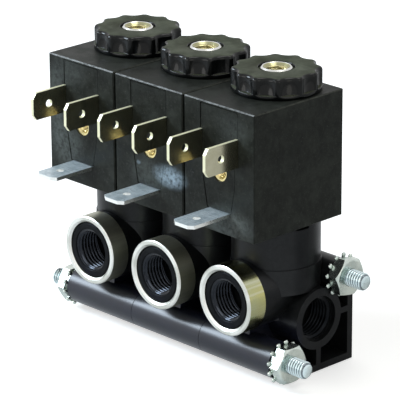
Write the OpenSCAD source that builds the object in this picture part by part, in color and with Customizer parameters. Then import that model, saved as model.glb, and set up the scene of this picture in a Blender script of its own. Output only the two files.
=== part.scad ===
/* [Bank] */
// Distance between the plunger axes of neighbouring valves
valve_pitch = 22; // [22:0.25:24]
// Gap left between the clamped bodies
module_gap = 0.12; // [0.05:0.01:0.3]
// Gap left between neighbouring coils
coil_gap = 0.5; // [0.2:0.05:0.8]

/* [Body] */
// Height of the body, from its base to the joint under the collar
body_h = 25; // [25:0.25:27]
// Radius of the round flange at the top of the body
flange_r = 10.1; // [10:0.05:10.6]
// Height of that flange
flange_h = 5.9; // [5.5:0.1:6.5]
// Distance from the plunger axis to the flat back of the body
body_back = 13.2; // [13.2:0.1:15]
// Distance from the plunger axis to the front edge of the base
base_front = 6; // [5:0.25:7]
// Thickness of the outer walls
wall = 1.6; // [1.4:0.1:2]
// Thickness of the stiffening ribs
rib = 1.4; // [1:0.1:2]
// Thickness of the web between the cored pockets
web = 4; // [3:0.25:6]
// Radius of the valve seat's nozzle
nozzle_r = 1.9; // [1.6:0.05:2]
// Radius of the orifice
orifice_r = 0.8; // [0.5:0.05:1.1]

/* [Ports] */
// Radius at the roots of the G1/8 port threads
port_thread_r = 4.87; // [4.8:0.01:4.9]
// Radius of the lead-in at the mouth of the front port
port_mouth_r = 5.05; // [5:0.05:5.5]
// Depth of the front port's thread
port_depth = 7; // [6:0.1:7.2]
// Distance from the plunger axis to the front of the port ring
port_front = 16; // [15.8:0.1:18]
// Drop of the front port's axis below the top of the body
port_drop = 6.35; // [6.2:0.05:6.5]
// Outer radius of the steel port ring
ring_r = 8; // [7.8:0.1:8.4]
// Wall of the steel port ring
ring_wall = 1.4; // [1.1:0.1:1.5]
// Length of the steel port ring
ring_l = 4.8; // [4:0.1:5]
// Distance of the side port's axis behind the plunger axis
side_port_y = 2.4; // [1.5:0.1:2.6]
// Height of the side port's axis above the base
side_port_z = 12.3; // [11.8:0.1:12.4]
// Outer radius of the side port's boss
side_boss_r = 7.05; // [6.8:0.05:7.3]
// Radius of the seal recess in the side port
seal_recess_r = 5.25; // [5.2:0.05:5.5]
// Depth of that recess
seal_recess_d = 1.3; // [1.1:0.05:1.6]
// Depth of the side port's thread
side_port_depth = 6; // [5:0.25:6.5]

/* [Collar] */
// Radius of the collar
collar_r = 9.9; // [9.7:0.05:10]
// Height of the collar
collar_h = 9.8; // [9:0.1:14]
// Width of the spanner notches in the collar's rim
notch_w = 3.4; // [2.5:0.1:4]
// Depth of the spanner notches
notch_d = 0.9; // [0.6:0.05:1.2]
// Angle of the first notch
notch_angle = -9; // [-45:1:45]

/* [Coil] */
// Height of the coil
coil_h = 29; // [28.5:0.25:34]
// Depth of the coil in front of the plunger axis
coil_front = 17.5; // [17:0.25:20]
// Depth of the coil behind the plunger axis
coil_back = 9.85; // [9.4:0.05:11]
// Chamfer of the coil's edges
coil_edge = 0.25; // [0.15:0.05:0.5]
// Chamfer of the two upright edges at the coil's back
coil_back_edge = 0.35; // [0.3:0.05:1.2]
// Thickness of the moulding outside the yoke
skin = 1.5; // [1.2:0.1:2]
// Thickness of the moulding beside the yoke
side_skin = 1.2; // [1:0.05:1.4]
// Thickness of the yoke's steel strip
yoke_t = 1.5; // [1.2:0.05:1.7]
// Width of the yoke's steel strip
yoke_w = 14; // [12:0.25:15]
// Thickness of the bobbin's end flanges
bobbin_flange = 1.2; // [1:0.05:1.5]
// Thickness of the bobbin's tube
bobbin_wall = 0.9; // [0.7:0.05:1.1]
// Depth of the winding below the rim of the bobbin
wire_margin = 0.4; // [0.2:0.05:0.8]

/* [Terminals] */
// Width of each flat terminal blade
tab_w = 6.3; // [4.8:0.1:6.3]
// Thickness of each blade
tab_t = 0.8; // [0.5:0.05:1]
// Distance between the two power blades
tab_spacing = 11; // [10.8:0.1:11.4]
// Length of a power blade outside the coil
tab_l = 9.7; // [8:0.1:12]
// Height of the power blades' centre above the coil's underside
tab_z = 19.4; // [19:0.1:21]
// Length of the earth blade outside the coil
earth_l = 11.3; // [9:0.1:13]
// Height of the earth blade's upper face above the coil's underside
earth_z = 5.1; // [4.9:0.1:5.5]
// Chamfer at the tip of a blade
tab_chamfer = 1.3; // [0.6:0.1:1.6]
// Radius of the hole in a blade
tab_hole_r = 0.9; // [0.7:0.05:1.1]
// Distance from a blade's tip to its hole
tab_hole_in = 4.6; // [3.5:0.1:5.5]
// Outer radius of the screw insert
insert_r = 2.25; // [2:0.05:2.4]
// Length of the screw insert
insert_l = 5; // [4:0.25:6]
// Radius at the roots of the M3 thread in the insert
insert_thread_r = 1.5; // [1.4:0.01:1.55]
// Depth of the screw insert below the front of its panel
insert_sunk = 0.3; // [0.1:0.05:0.5]
// Height of the screw insert above the coil's underside
insert_z = 14; // [13.8:0.1:14.4]

/* [Plunger] */
// Radius of the plunger
plunger_r = 3.5; // [3.4:0.05:3.6]
// Length of the plunger
plunger_l = 27.75; // [26:0.25:30]
// Travel of the plunger
stroke = 0.9; // [0.5:0.05:1]
// Height of the spring's room above the foot of the guide tube
spring_room = 2.9; // [2.7:0.1:3.4]
// Wall of the guide tube
tube_wall = 0.45; // [0.35:0.05:0.5]
// Gap between parts that slide or turn in each other
slide_gap = 0.05; // [0.03:0.01:0.06]
// Gap between parts that are moulded or pressed together
seat_gap = 0.03; // [0.01:0.01:0.05]
// Diameter of the spring's wire
spring_wire = 0.4; // [0.3:0.02:0.44]
// Number of turns of the spring
spring_turns = 4; // [3:1:5]

/* [Knob nut] */
// Radius over the knob nut's lobes
knob_r = 9.95; // [9:0.05:10.4]
// Height of the knob nut
knob_h = 4.8; // [4.6:0.1:7]
// Number of lobes
knob_lobes = 12; // [8:1:16]
// Depth of the flutes between the lobes
flute_d = 0.85; // [0.4:0.05:1]
// Radius of each flute
flute_r = 3.8; // [2.5:0.1:5]
// Height of the round foot under the lobes
knob_foot = 1; // [0.5:0.05:1.2]
// Rounding of the knob nut's upper edge
knob_edge = 0.8; // [0.3:0.05:1]
// Angles at which the three knob nuts stand
knob_angles = [7, 21.6, 16.3]; // [0:0.1:30]
// Radius of the thread on the end of the fixed core
stem_r = 3.5; // [3.3:0.05:3.5]
// Radius at the roots of the M5 exhaust thread
exhaust_r = 2.5; // [2.4:0.02:2.56]
// Depth of the exhaust thread
exhaust_depth = 6; // [4.5:0.1:7]

/* [Tie rods] */
// Radius of the tie rods
rod_r = 2; // [1.8:0.05:2.05]
// Clearance of the tie rods in their holes
rod_gap = 0.1; // [0.05:0.01:0.2]
// Radius of the bar round the lower rod
boss_r = 4.2; // [4:0.05:4.2]
// Radius of the boss round the upper rod
high_boss_r = 3.5; // [3.4:0.05:3.7]
// Distance of the lower rod in front of the plunger axis
low_rod_y = 9.2; // [8.8:0.1:9.6]
// Height of the lower rod
low_rod_z = 5.6; // [5.5:0.05:5.8]
// Distance of the upper rod behind the plunger axis
high_rod_y = 9; // [8.95:0.05:9]
// Drop of the upper rod below the top of the body
high_rod_drop = 3.8; // [3.7:0.05:4]
// Length of each rod outside the end bodies
rod_out = 7.8; // [6:0.1:9]
// Width across the flats of the nuts
nut_af = 8; // [7:0.1:8.2]
// Height of a nut
nut_h = 2.6; // [2.4:0.1:4]
// Number of teeth on a washer
washer_teeth = 12; // [8:1:14]
// Radius of the circle of the washer's tooth tips
washer_tip_at = 4.5; // [4.3:0.05:4.6]
// Radius of each rounded tooth tip
washer_tip_r = 0.55; // [0.45:0.05:0.6]
// Radius of the washer inside its teeth
washer_hub_r = 3.85; // [3.5:0.05:4]
// Thickness of the washer's sheet
washer_t = 0.5; // [0.4:0.05:0.6]
// Angles at which the nuts on the lower and the upper rod stand
nut_angles = [28.6, 20]; // [0:0.1:60]
// Angles at which the washers on the lower and the upper rod stand
washer_angles = [19.5, 21.5]; // [0:0.1:30]

/* [Hidden] */
$fn = 72;
eps = 0.01;

// Places along the stack, all above the base
port_z = body_h - port_drop;
high_rod_z = body_h - high_rod_drop;
flange_z = body_h - flange_h;
coil_z = body_h + collar_h;
coil_top = coil_z + coil_h;
module_w = valve_pitch - module_gap;
coil_w = valve_pitch - coil_gap;
bank_half = valve_pitch + module_w / 2;

// The plastic lip inside the port ring, set back from the ring's front
lip_r = ring_r - ring_wall - seat_gap;
lip_depth = 0.4;
lip_edge = 0.45;

// The bore in the top of the body, with the chamber and the seat under it
tube_seal_h = 1.3;
bore_r = 6.1;
bore_d = 4.8;
bore_z = body_h - bore_d;
chamber_r = 4.6;
chamber_h = 2.8;
chamber_z = bore_z - chamber_h;
seat_h = 1.6;
seat_z = chamber_z + seat_h;
outlet_r = 1.2;
supply_r = 3.2;
collar_relief = 0.3;

// The guide tube with the spring pocket at its foot
tube_in = plunger_r + slide_gap;
tube_r = tube_in + tube_wall;
tube_z = bore_z + tube_seal_h;
tube_flange_t = 1.2;
tube_flange_r = bore_r - slide_gap;
pocket_step = 0.1;
pocket_in = chamber_r - pocket_step;
pocket_out = pocket_in + tube_wall;
pocket_top = tube_z + spring_room;
tube_drop = 2;
tube_top = coil_top - tube_drop;

// The plunger with its two sealing discs
disc_r = nozzle_r;
disc_h = 1.6;
disc_proud = 0.25;
plunger_z = seat_z + disc_proud;
plunger_top = plunger_z + plunger_l;
head_gap = 0.3;
plunger_head_r = chamber_r - head_gap;
plunger_head_t = 0.8;
core_z = plunger_top + stroke;
core_nub = 0.2;
core_nub_r = 1.4;
core_nub_root = 0.5;
core_proud = 0.1;
core_top = coil_top + knob_h + core_proud;
core_shoulder = 0.8;
core_edge = 0.3;
core_rim = 0.1;
core_flare_h = 0.55;

// The coil, from its skin inwards
yoke_x = coil_w / 2 - side_skin;
yoke_z = coil_z + skin;
yoke_top = coil_top - skin;
bobbin_z = yoke_z + yoke_t;
bobbin_top = yoke_top - yoke_t;
yoke_gap = 0.15;
bobbin_r = yoke_x - yoke_t - yoke_gap;
coil_play = 0.1;
bobbin_in = tube_r + coil_play;
wire_in = bobbin_in + bobbin_wall;
wire_r = bobbin_r - wire_margin;
carrier_wall = 0.2;
carrier_back = bobbin_r + carrier_wall;
carrier_recess = 0.08;
carrier_wide = tab_spacing / 2;
carrier_mid = 4.7;
carrier_narrow = 3.5;
carrier_gap = 0.18;
carrier_foot = 0.15;
carrier_low = coil_z + earth_z + carrier_foot;
carrier_knee_h = 6.3;
carrier_knee = carrier_low + carrier_knee_h;
carrier_drop = 0.7;
carrier_high = coil_top - carrier_drop;
tongue_w = 6;
tongue_t = 1.5;
terminal_in = 8;
earth_bend = 5.2;
tab_centre = coil_z + tab_z;
earth_top = coil_z + earth_z;

// The knob nut's seat on the coil
knob_seal_t = 1.2;
knob_groove_w = 2.3;
knob_groove_out = stem_r + slide_gap + knob_groove_w;
knob_seal_gap = 0.1;
knob_seal_at = knob_groove_out - knob_seal_gap - knob_seal_t / 2;
knob_recess_r = 4;
knob_recess_d = 0.6;

// The stack on each rod's end
washer_tip_t = 0.38;
stack_gap = 0.08;
washer_x = bank_half + washer_tip_t + stack_gap;
nut_x = washer_x + washer_t / 2 + stack_gap;

black_plastic = [0.11, 0.12, 0.12];
coil_plastic = [0.20, 0.22, 0.21];
steel = [0.78, 0.78, 0.76];
zinc = [0.82, 0.84, 0.82];
brass = [0.85, 0.68, 0.30];
copper = [0.72, 0.40, 0.22];
nylon = [0.25, 0.27, 0.26];
rubber = [0.05, 0.05, 0.05];

// Sets a valve's part at its place in the bank, counted from the left
module at_valve(n) {
    translate([(n - 2) * valve_pitch, 0, 0])
        children();
}

// A cylinder along -Y whose rear end lies at the given y
module along_front(y, z, r, h) {
    translate([0, y, z])
        rotate([90, 0, 0])
            cylinder(r = r, h = h);
}

// Extrudes an outline drawn in Y and Z to a width that is centred on X
module across(w) {
    rotate([90, 0, 90])
        linear_extrude(height = w, center = true)
            children();
}

// The outline of the walls, bosses and ribs that reach both sides of a body
module frame_outline() {
    translate([body_back - wall, 0])
        square([wall, high_rod_z]);
    translate([-base_front, 0])
        square([body_back + base_front, wall]);
    polygon([[-base_front, 0],
             [-base_front, wall],
             [-low_rod_y, low_rod_z],
             [-low_rod_y - 1.2, low_rod_z - boss_r + 0.25]]);
    translate([side_port_y, side_port_z - rib / 2])
        square([body_back - side_port_y, rib]);
    translate([side_port_y - rib / 2, 0])
        square([rib, side_port_z]);
    translate([side_port_y, side_port_z])
        circle(r = side_boss_r);
    translate([-low_rod_y, low_rod_z])
        circle(r = boss_r);
    translate([high_rod_y, high_rod_z])
        circle(r = high_boss_r);
}

// The web between the cored pockets of the two sides
module web_outline() {
    polygon([[-base_front, 0.5],
             [body_back - 0.5, 0.5],
             [body_back - 0.5, high_rod_z],
             [-flange_r + 2, flange_z + 1],
             [-low_rod_y - 2, low_rod_z]]);
}

module body_form() {
    across(module_w)
        frame_outline();
    across(web)
        web_outline();
    translate([0, 0, flange_z])
        cylinder(r = flange_r, h = flange_h);
    translate([0, 0, side_port_z])
        cylinder(r = bore_r + 1.1, h = body_h - 1 - side_port_z);
    along_front(0, port_z, ring_r - 0.1, port_front - ring_l);
    translate([0, -port_front + lip_depth + lip_edge, port_z])
        rotate([90, 0, 0]) {
            translate([0, 0, lip_edge + lip_depth + 1 - port_front])
                cylinder(r = lip_r, h = port_front - lip_depth - lip_edge - 1);
            cylinder(r1 = lip_r, r2 = lip_r - lip_edge, h = lip_edge);
        }
}

// The passages: supply from side to side, outlet to the front, seat between them
module body_passages() {
    rotate([0, 90, 0])
        translate([-side_port_z, side_port_y, 0]) {
            cylinder(r = supply_r, h = valve_pitch * 2, center = true);
            for (side = [-1, 1])
                translate([0, 0, side * (module_w / 2 - seal_recess_d - side_port_depth / 2)])
                    cylinder(r = port_thread_r, h = side_port_depth, center = true);
            translate([0, 0, -module_w / 2 - 1])
                cylinder(r = port_thread_r, h = 3);
            translate([0, 0, module_w / 2 - seal_recess_d])
                cylinder(r = seal_recess_r, h = 2 * seal_recess_d);
        }
    along_front(-port_front + lip_depth + port_depth, port_z, port_thread_r, port_depth + 1);
    translate([0, -port_front + lip_depth, port_z])
        rotate([-90, 0, 0])
            cylinder(r1 = port_mouth_r, r2 = port_thread_r - 0.1, h = port_mouth_r - port_thread_r + 0.1);
    along_front(0, port_z, outlet_r, port_front - port_depth);
    translate([0, 0, bore_z])
        cylinder(r = bore_r, h = body_h);
    difference() {
        translate([0, 0, chamber_z])
            cylinder(r = chamber_r, h = bore_z - chamber_z + eps);
        translate([0, 0, chamber_z - 1])
            cylinder(r = nozzle_r, h = seat_z - chamber_z + 1);
    }
    translate([0, 0, side_port_z])
        cylinder(r = orifice_r, h = body_h);
}

// Glass-filled nylon body, cored from both sides, with the bar for the lower rod in front
module valve_body() {
    color(black_plastic)
        difference() {
            body_form();
            translate([0, 0, body_h])
                cylinder(r = collar_r + collar_relief, h = body_h);
            body_passages();
            rotate([0, 90, 0]) {
                translate([-low_rod_z, -low_rod_y, 0])
                    cylinder(r = rod_r + rod_gap, h = valve_pitch * 2, center = true);
                translate([-high_rod_z, high_rod_y, 0])
                    cylinder(r = rod_r + rod_gap, h = valve_pitch * 2, center = true);
            }
        }
}

// Turned steel ring that backs up the plastic thread of the front port
module port_ring() {
    outer_edge = 0.25;
    inner_edge = 0.45;
    color(steel)
        translate([0, -port_front + ring_l, port_z])
            rotate([90, 0, 0])
                rotate_extrude()
                    polygon([[ring_r - ring_wall, 0],
                             [ring_r, 0],
                             [ring_r, ring_l - outer_edge],
                             [ring_r - outer_edge, ring_l],
                             [ring_r - ring_wall + inner_edge, ring_l],
                             [ring_r - ring_wall, ring_l - inner_edge]]);
}

// Screwed collar that clamps the guide tube's flange into the body
module collar() {
    spigot_z = tube_z + tube_flange_t;
    color(black_plastic)
        difference() {
            union() {
                translate([0, 0, body_h])
                    cylinder(r = collar_r, h = collar_h);
                translate([0, 0, spigot_z])
                    cylinder(r = tube_flange_r, h = body_h - spigot_z + 1);
            }
            translate([0, 0, spigot_z - 1])
                cylinder(r = tube_r + slide_gap, h = coil_top);
            translate([0, 0, spigot_z - 1])
                cylinder(r = pocket_out + slide_gap, h = pocket_top + tube_wall + 0.1 - spigot_z + 1);
            for (turn = [0 : 90 : 270])
                rotate([0, 0, notch_angle + turn])
                    translate([collar_r - 2.5, -notch_w / 2, coil_z - notch_d])
                        cube([5, notch_w, 2 * notch_d]);
        }
}

// Drawn stainless tube, its wide foot holding the spring
module guide_tube() {
    color(steel)
        translate([0, 0, tube_z])
            rotate_extrude()
                polygon([[pocket_in, 0],
                         [tube_flange_r, 0],
                         [tube_flange_r, tube_flange_t],
                         [pocket_out, tube_flange_t],
                         [pocket_out, pocket_top + tube_wall - tube_z],
                         [tube_r, pocket_top + tube_wall - tube_z],
                         [tube_r, tube_top - tube_z],
                         [tube_in, tube_top - tube_z],
                         [tube_in, pocket_top - tube_z],
                         [pocket_in, pocket_top - tube_z]]);
}

// Fixed core: pole face below, M5 exhaust thread above, both ends joined by a bore
module fixed_core() {
    color(steel)
        difference() {
            rotate_extrude()
                polygon([[0, core_z],
                         [tube_in - seat_gap, core_z],
                         [tube_in - seat_gap, tube_top],
                         [tube_r, tube_top],
                         [tube_r, coil_top - core_shoulder],
                         [stem_r, coil_top - core_shoulder],
                         [stem_r, core_top - core_edge],
                         [stem_r - core_edge, core_top],
                         [0, core_top]]);
            translate([0, 0, core_z - 1])
                cylinder(r = orifice_r, h = coil_top);
            translate([0, 0, core_top - exhaust_depth])
                cylinder(r = exhaust_r, h = exhaust_depth + 1);
            translate([0, 0, core_top - core_flare_h])
                cylinder(r1 = exhaust_r, r2 = stem_r - core_edge - core_rim, h = core_flare_h + eps);
        }
    color(steel)
        translate([0, 0, core_z - core_nub])
            difference() {
                cylinder(r = core_nub_r, h = core_nub + core_nub_root);
                translate([0, 0, -1])
                    cylinder(r = orifice_r, h = core_nub + core_nub_root + 2);
            }
}

// Steel plunger with a flat head under the spring and a pocket in each end
module plunger() {
    color(steel)
        difference() {
            union() {
                translate([0, 0, plunger_z])
                    cylinder(r = plunger_r, h = plunger_top - plunger_z);
                translate([0, 0, plunger_z])
                    cylinder(r = plunger_head_r, h = plunger_head_t);
            }
            translate([0, 0, plunger_z - 1])
                cylinder(r = disc_r + seat_gap, h = disc_h - disc_proud + 1);
            translate([0, 0, plunger_top - disc_h - core_nub])
                cylinder(r = disc_r + seat_gap, h = disc_h + 1);
        }
}

// Rubber discs in the ends of the plunger: the lower shuts the supply, the upper the exhaust
module plunger_seals() {
    color(rubber) {
        translate([0, 0, seat_z])
            cylinder(r = disc_r, h = disc_h);
        translate([0, 0, plunger_top - disc_h - core_nub])
            cylinder(r = disc_r, h = disc_h);
    }
}

// Return spring between the plunger's head and the shoulder of the guide tube
module plunger_spring() {
    low = plunger_z + plunger_head_t + spring_wire / 2;
    high = pocket_top - spring_wire / 2;
    coil_r = (plunger_r + pocket_in) / 2;
    steps = 16;
    sides = 8;
    rings = spring_turns * steps;
    points = [for (i = [0 : rings], k = [0 : sides - 1])
        let (a = 360 * i / steps,
             b = 360 * k / sides,
             r = coil_r + spring_wire / 2 * cos(b),
             z = low + (high - low) * i / rings + spring_wire / 2 * sin(b))
        [r * cos(a), r * sin(a), z]];
    wall_faces = [for (i = [0 : rings - 1], k = [0 : sides - 1])
        [i * sides + k,
         (i + 1) * sides + k,
         (i + 1) * sides + (k + 1) % sides,
         i * sides + (k + 1) % sides]];
    start = [[for (k = [0 : sides - 1]) k]];
    end = [[for (k = [0 : sides - 1]) rings * sides + sides - 1 - k]];
    color(steel)
        polyhedron(points = points, faces = concat(start, wall_faces, end), convexity = 8);
}

// O-rings under the flanges of the guide tubes
module tube_seals() {
    seal_r = tube_seal_h / 2 - eps;
    color(rubber)
        for (n = [1 : 3])
            at_valve(n)
                translate([0, 0, bore_z + tube_seal_h / 2])
                    rotate_extrude()
                        translate([bore_r - seat_gap - seal_r, 0])
                            circle(r = seal_r);
}

// A rectangle from a low corner to a high corner, its four corners chamfered
module chamfered(low, high, edge) {
    polygon([[low[0] + edge, low[1]],
             [high[0] - edge, low[1]],
             [high[0], low[1] + edge],
             [high[0], high[1] - edge],
             [high[0] - edge, high[1]],
             [low[0] + edge, high[1]],
             [low[0], high[1] - edge],
             [low[0], low[1] + edge]]);
}

// The coil's outer form, all its edges chamfered
module coil_block() {
    half = coil_w / 2;
    intersection() {
        translate([0, 0, coil_z])
            linear_extrude(height = coil_h)
                chamfered([-half, -coil_front], [half, coil_back + coil_back_edge], coil_edge);
        translate([0, 0, coil_z])
            linear_extrude(height = coil_h)
                chamfered([-half, -coil_front - coil_back_edge], [half, coil_back], coil_back_edge);
        across(coil_w)
            chamfered([-coil_front, coil_z], [coil_back, coil_top], coil_edge);
        translate([0, coil_back, 0])
            rotate([90, 0, 0])
                linear_extrude(height = coil_front + coil_back)
                    chamfered([-half, coil_z], [half, coil_top], coil_edge);
    }
}

// The terminal carrier's face, as seen from the front, grown by a gap
module carrier_outline(gap) {
    wide = carrier_wide + gap;
    mid = carrier_mid + gap;
    narrow = carrier_narrow + gap;
    shoulder = tab_centre - tab_w / 2 + 0.3;
    polygon([[-narrow, carrier_low - gap],
             [narrow, carrier_low - gap],
             [mid, carrier_knee],
             [mid, shoulder - 0.8],
             [wide, shoulder],
             [wide, carrier_high + gap],
             [-wide, carrier_high + gap],
             [-wide, shoulder],
             [-mid, shoulder - 0.8],
             [-mid, carrier_knee]]);
}

module carrier(gap, front) {
    translate([0, -carrier_back + gap, 0])
        rotate([90, 0, 0])
            linear_extrude(height = front - carrier_back + gap)
                carrier_outline(gap);
}

// The bobbin's end flanges with the tongues that hold the carrier
module bobbin_flanges(gap) {
    for (z = [bobbin_z, bobbin_top - bobbin_flange])
        translate([0, 0, z - gap]) {
            cylinder(r = bobbin_r + gap, h = bobbin_flange + 2 * gap);
            translate([-tongue_w / 2 - gap, -carrier_back - tongue_t - gap, 0])
                cube([tongue_w + 2 * gap, carrier_back + tongue_t, bobbin_flange + 2 * gap]);
        }
    translate([-tongue_w / 2 - gap, -carrier_back - tongue_t - gap, bobbin_z])
        cube([tongue_w + 2 * gap, tongue_t + 2 * gap, bobbin_top - bobbin_z]);
}

// The yoke: one steel strip bent round the winding, closed at a butt joint
module yoke_form(gap) {
    difference() {
        translate([-yoke_x - gap, -yoke_w / 2 - gap, yoke_z - gap])
            cube([2 * (yoke_x + gap), yoke_w + 2 * gap, yoke_top - yoke_z + 2 * gap]);
        translate([-yoke_x + yoke_t + gap, -yoke_w, yoke_z + yoke_t + gap])
            cube([2 * (yoke_x - yoke_t - gap), 2 * yoke_w, yoke_top - yoke_z - 2 * (yoke_t + gap)]);
    }
}

// The earth strip: blade, leg down to the yoke's level and foot against its edge
module earth_form(gap) {
    translate([-tab_w / 2 - gap, -coil_front - 1, earth_top - tab_t - gap])
        cube([tab_w + 2 * gap, earth_bend + 1 + gap, tab_t + 2 * gap]);
    translate([-tab_w / 2 - gap, -coil_front + earth_bend - tab_t - gap, yoke_z - gap])
        cube([tab_w + 2 * gap, tab_t + 2 * gap, earth_top - yoke_z + gap]);
    translate([-tab_w / 2 - gap, -coil_front + earth_bend - tab_t - gap, yoke_z - gap])
        cube([tab_w + 2 * gap, coil_front - earth_bend + tab_t - yoke_w / 2 + gap, tab_t + 2 * gap]);
}

// The slots that the power blades fill
module power_slots() {
    for (x = [-tab_spacing / 2, tab_spacing / 2])
        translate([x - tab_t / 2 - seat_gap, -coil_front - 1, tab_centre - tab_w / 2 - seat_gap])
            cube([tab_t + 2 * seat_gap, terminal_in + 1 + seat_gap, tab_w + 2 * seat_gap]);
}

// Glass-filled moulding round the yoke and winding, its front open for the carrier
module coil_cover() {
    color(coil_plastic)
        difference() {
            coil_block();
            translate([0, 0, coil_z - 1])
                cylinder(r = bobbin_in, h = coil_h + 2);
            yoke_form(seat_gap);
            translate([0, 0, bobbin_z - seat_gap])
                cylinder(r = bobbin_r + seat_gap, h = bobbin_top - bobbin_z + 2 * seat_gap);
            bobbin_flanges(seat_gap);
            carrier(carrier_gap, coil_front + 1);
            earth_form(seat_gap);
            power_slots();
        }
}

// Nylon bobbin with the terminal carrier that shows in the coil's front
module bobbin() {
    color(nylon)
        difference() {
            union() {
                bobbin_flanges(0);
                translate([0, 0, bobbin_z])
                    cylinder(r = wire_in, h = bobbin_top - bobbin_z);
                carrier(0, coil_front - carrier_recess);
            }
            translate([0, 0, bobbin_z - 1])
                cylinder(r = bobbin_in, h = coil_h);
            earth_form(seat_gap);
            power_slots();
            along_front(-coil_front + carrier_recess + insert_sunk + insert_l + seat_gap,
                        coil_z + insert_z, insert_r + seat_gap, insert_l + 1);
        }
}

// Enamelled copper wire wound between the bobbin's flanges
module winding() {
    color(copper)
        translate([0, 0, bobbin_z + bobbin_flange])
            difference() {
                cylinder(r = wire_r, h = bobbin_top - bobbin_z - 2 * bobbin_flange);
                translate([0, 0, -1])
                    cylinder(r = wire_in, h = coil_h);
            }
}

module yoke() {
    color(zinc)
        difference() {
            yoke_form(0);
            translate([0, 0, coil_z])
                cylinder(r = bobbin_in, h = coil_h);
        }
}

// One blade with a chamfered tip and a hole, drawn in Y and Z at the given centre height
module blade_outline(z, half, tip) {
    polygon([[-coil_front + terminal_in, z - half],
             [-coil_front + terminal_in, z + half],
             [-tip + tab_chamfer * 0.7, z + half],
             [-tip, z + half - tab_chamfer],
             [-tip, z - half + tab_chamfer],
             [-tip + tab_chamfer * 0.7, z - half]]);
}

// Tinned brass blades for the two power lines
module power_terminals() {
    tip = coil_front + tab_l;
    color(zinc)
        for (x = [-tab_spacing / 2, tab_spacing / 2])
            translate([x, 0, 0])
                difference() {
                    across(tab_t)
                        blade_outline(tab_centre, tab_w / 2, tip);
                    translate([0, -tip + tab_hole_in, tab_centre])
                        rotate([0, 90, 0])
                            cylinder(r = tab_hole_r, h = 2, center = true);
                }
}

// Earth blade, bent inside the coil to meet the yoke
module earth_terminal() {
    tip = coil_front + earth_l;
    half = tab_w / 2;
    color(zinc)
        difference() {
            union() {
                earth_form(0);
                translate([0, 0, earth_top - tab_t])
                    linear_extrude(height = tab_t)
                        polygon([[-half, -coil_front],
                                 [half, -coil_front],
                                 [half, -tip + tab_chamfer * 0.7],
                                 [half - tab_chamfer, -tip],
                                 [-half + tab_chamfer, -tip],
                                 [-half, -tip + tab_chamfer * 0.7]]);
            }
            translate([0, -tip + tab_hole_in, earth_top - tab_t - 1])
                cylinder(r = tab_hole_r, h = tab_t + 2);
        }
}

// Brass insert with the M3 thread for the plug's fixing screw
module screw_insert() {
    z = coil_z + insert_z;
    front = coil_front - carrier_recess - insert_sunk;
    color(brass)
        difference() {
            along_front(-front + insert_l, z, insert_r, insert_l);
            along_front(-front + insert_l + 1, z, insert_thread_r, insert_l + 2);
            translate([0, -front, z])
                rotate([-90, 0, 0])
                    cylinder(r1 = insert_thread_r + 0.3, r2 = insert_thread_r - 0.1, h = 0.4);
        }
}

// Half-section of the knob nut, from the threaded bore to the rounded rim
module knob_section() {
    steps = 6;
    bore = stem_r + slide_gap;
    polygon(concat(
        [[bore, knob_seal_t + slide_gap],
         [knob_groove_out, knob_seal_t + slide_gap],
         [knob_groove_out, 0],
         [knob_r, 0],
         [knob_r, knob_h - knob_edge]],
        [for (i = [1 : steps])
            [knob_r - knob_edge * (1 - cos(90 * i / steps)),
             knob_h - knob_edge * (1 - sin(90 * i / steps))]],
        [[knob_recess_r, knob_h],
         [knob_recess_r, knob_h - knob_recess_d],
         [bore, knob_h - knob_recess_d]]));
}

// Moulded knob nut, fluted above a round foot and turned to the given angle
module knob_nut(angle) {
    color(black_plastic)
        translate([0, 0, coil_top])
            rotate([0, 0, angle])
                difference() {
                    rotate_extrude()
                        knob_section();
                    for (i = [0 : knob_lobes - 1])
                        rotate([0, 0, 360 * (i + 0.5) / knob_lobes])
                            translate([knob_r - flute_d + flute_r, 0, knob_foot])
                                cylinder(r = flute_r, h = knob_h);
                }
}

// O-ring in the groove under the knob nut
module knob_seal() {
    color(rubber)
        translate([0, 0, coil_top + knob_seal_t / 2])
            rotate_extrude()
                translate([knob_seal_at, 0])
                    circle(r = knob_seal_t / 2 - eps);
}

// O-rings between the side ports of neighbouring bodies
module module_seals() {
    seal_r = (seal_recess_d + module_gap) / 2 - eps;
    color(rubber)
        for (n = [1 : 2])
            at_valve(n)
                translate([valve_pitch / 2 - module_gap / 2 - seal_recess_d + seal_r + eps,
                           side_port_y, side_port_z])
                    rotate([0, 90, 0])
                        rotate_extrude()
                            translate([seal_recess_r - seat_gap - seal_r, 0])
                                circle(r = seal_r);
}

// Sets a part at both ends of both rods, its +Z outwards and turned to the rod's angle
module at_rod_ends(angles) {
    for (side = [-1, 1])
        for (place = [[-low_rod_y, low_rod_z, angles[0]], [high_rod_y, high_rod_z, angles[1]]])
            translate([0, place[0], place[1]])
                rotate([0, side * 90, 0])
                    rotate([0, 0, place[2]])
                        children();
}

// Threaded rods that clamp the bank together
module tie_rods() {
    l = 2 * (bank_half + rod_out);
    tip = 0.5;
    color(zinc)
        for (place = [[-low_rod_y, low_rod_z], [high_rod_y, high_rod_z]])
            translate([-l / 2, place[0], place[1]])
                rotate([0, 90, 0])
                    rotate_extrude()
                        polygon([[0, 0],
                                 [rod_r - tip, 0],
                                 [rod_r, tip],
                                 [rod_r, l - tip],
                                 [rod_r - tip, l],
                                 [0, l]]);
}

// Hexagon nuts with their outer corners turned back
module lock_nuts() {
    corner = nut_af / 2 / cos(30);
    color(zinc)
        at_rod_ends(nut_angles)
            translate([0, 0, nut_x])
                difference() {
                    intersection() {
                        cylinder(r = corner, h = nut_h, $fn = 6);
                        rotate_extrude()
                            polygon([[0, 0],
                                     [corner, 0],
                                     [corner, nut_h - 0.45],
                                     [nut_af / 2 - 0.2, nut_h],
                                     [0, nut_h]]);
                    }
                    translate([0, 0, -1])
                        cylinder(r = rod_r + slide_gap, h = nut_h + 2);
                }
}

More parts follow.
